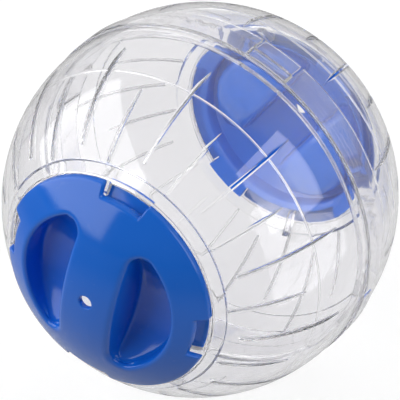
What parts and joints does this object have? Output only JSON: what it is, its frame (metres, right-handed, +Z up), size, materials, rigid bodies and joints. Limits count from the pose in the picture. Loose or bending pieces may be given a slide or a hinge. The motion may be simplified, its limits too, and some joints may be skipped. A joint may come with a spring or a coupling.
{
  "type": "hamster ball",
  "caption": "Clear exercise ball for a small pet: two slotted half shells snapped together, with a blue twist cap with finger pockets and a pivot hole at each end.",
  "frame": {"origin": "centre of the ball, midway between the two caps", "axes": "+Y along the cap axis towards the rear cap, the front cap faces -Y, +Z up"},
  "size_m": [0.1006, 0.1056, 0.1008],
  "materials": {
    "clear_shell": "clear polished moulding",
    "blue_cap": "glossy moulding"
  },
  "bodies": {
    "shells": {"front_shell": "clear_shell", "rear_shell": "clear_shell"},
    "front_cap_body": {"front_cap": "blue_cap"},
    "rear_cap_body": {"rear_cap": "blue_cap"}
  },
  "joints": [
    {"name": "front_cap_turn", "type": "hinge", "parent": "shells", "child": "front_cap_body", "pos_m": [0, -0.04, 0], "axis": [0, -1, 0], "range_deg": [-30, 30]},
    {"name": "rear_cap_turn", "type": "hinge", "parent": "shells", "child": "rear_cap_body", "pos_m": [0, 0.04, 0], "axis": [0, 1, 0], "range_deg": [-30, 30]}
  ]
}
